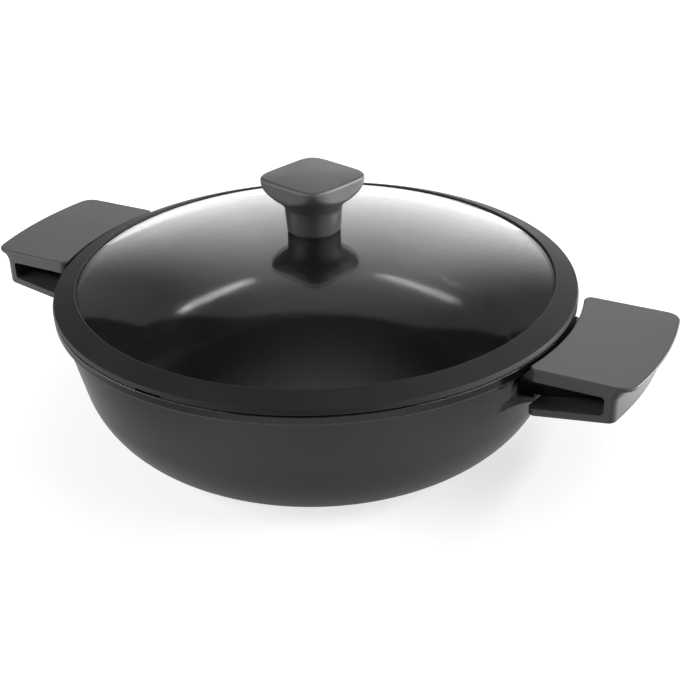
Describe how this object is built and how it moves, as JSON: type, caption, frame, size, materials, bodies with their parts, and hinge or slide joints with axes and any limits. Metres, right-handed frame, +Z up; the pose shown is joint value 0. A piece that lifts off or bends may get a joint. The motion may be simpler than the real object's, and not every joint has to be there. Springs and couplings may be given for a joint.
{
  "type": "saute pan",
  "caption": "Low cast pan with side grips that slip onto cast tongues, and a domed glass lid with a silicone rim and a moulded knob.",
  "frame": {"origin": "on the pan's axis, in the plane that it stands on", "axes": "+Z up along the pan's axis, +X towards the right grip, +Y across the grips"},
  "size_m": [0.4108, 0.3, 0.1521],
  "materials": {
    "cast_aluminium": "cast aluminium with a matt dark non-stick coating",
    "steel": "brushed stainless steel",
    "grip_silicone": "matt grey silicone",
    "tempered_glass": "clear tempered glass",
    "rim_silicone": "satin dark grey silicone",
    "knob_plastic": "matt soft-touch grey plastic",
    "seal_silicone": "black silicone",
    "brass": "turned brass"
  },
  "bodies": {
    "pan": {"pan_body": "cast_aluminium", "base_disc": "steel"},
    "lid": {"lid_glass": "tempered_glass", "lid_rim": "rim_silicone", "knob": "knob_plastic", "knob_insert": "brass", "knob_gasket": "seal_silicone", "glass_seal": "seal_silicone", "screw_washer": "steel", "knob_screw": "steel"},
    "left_grip": {"left_grip": "grip_silicone"},
    "right_grip": {"right_grip": "grip_silicone"}
  },
  "joints": [
    {"name": "lid_lift", "type": "slide", "parent": "pan", "child": "lid", "axis": [0, 0, 1], "range_m": [0, 0.12]},
    {"name": "left_grip_slide", "type": "slide", "parent": "pan", "child": "left_grip", "axis": [-1, 0, 0], "range_m": [0, 0.05]},
    {"name": "right_grip_slide", "type": "slide", "parent": "pan", "child": "right_grip", "axis": [1, 0, 0], "range_m": [0, 0.05]}
  ]
}
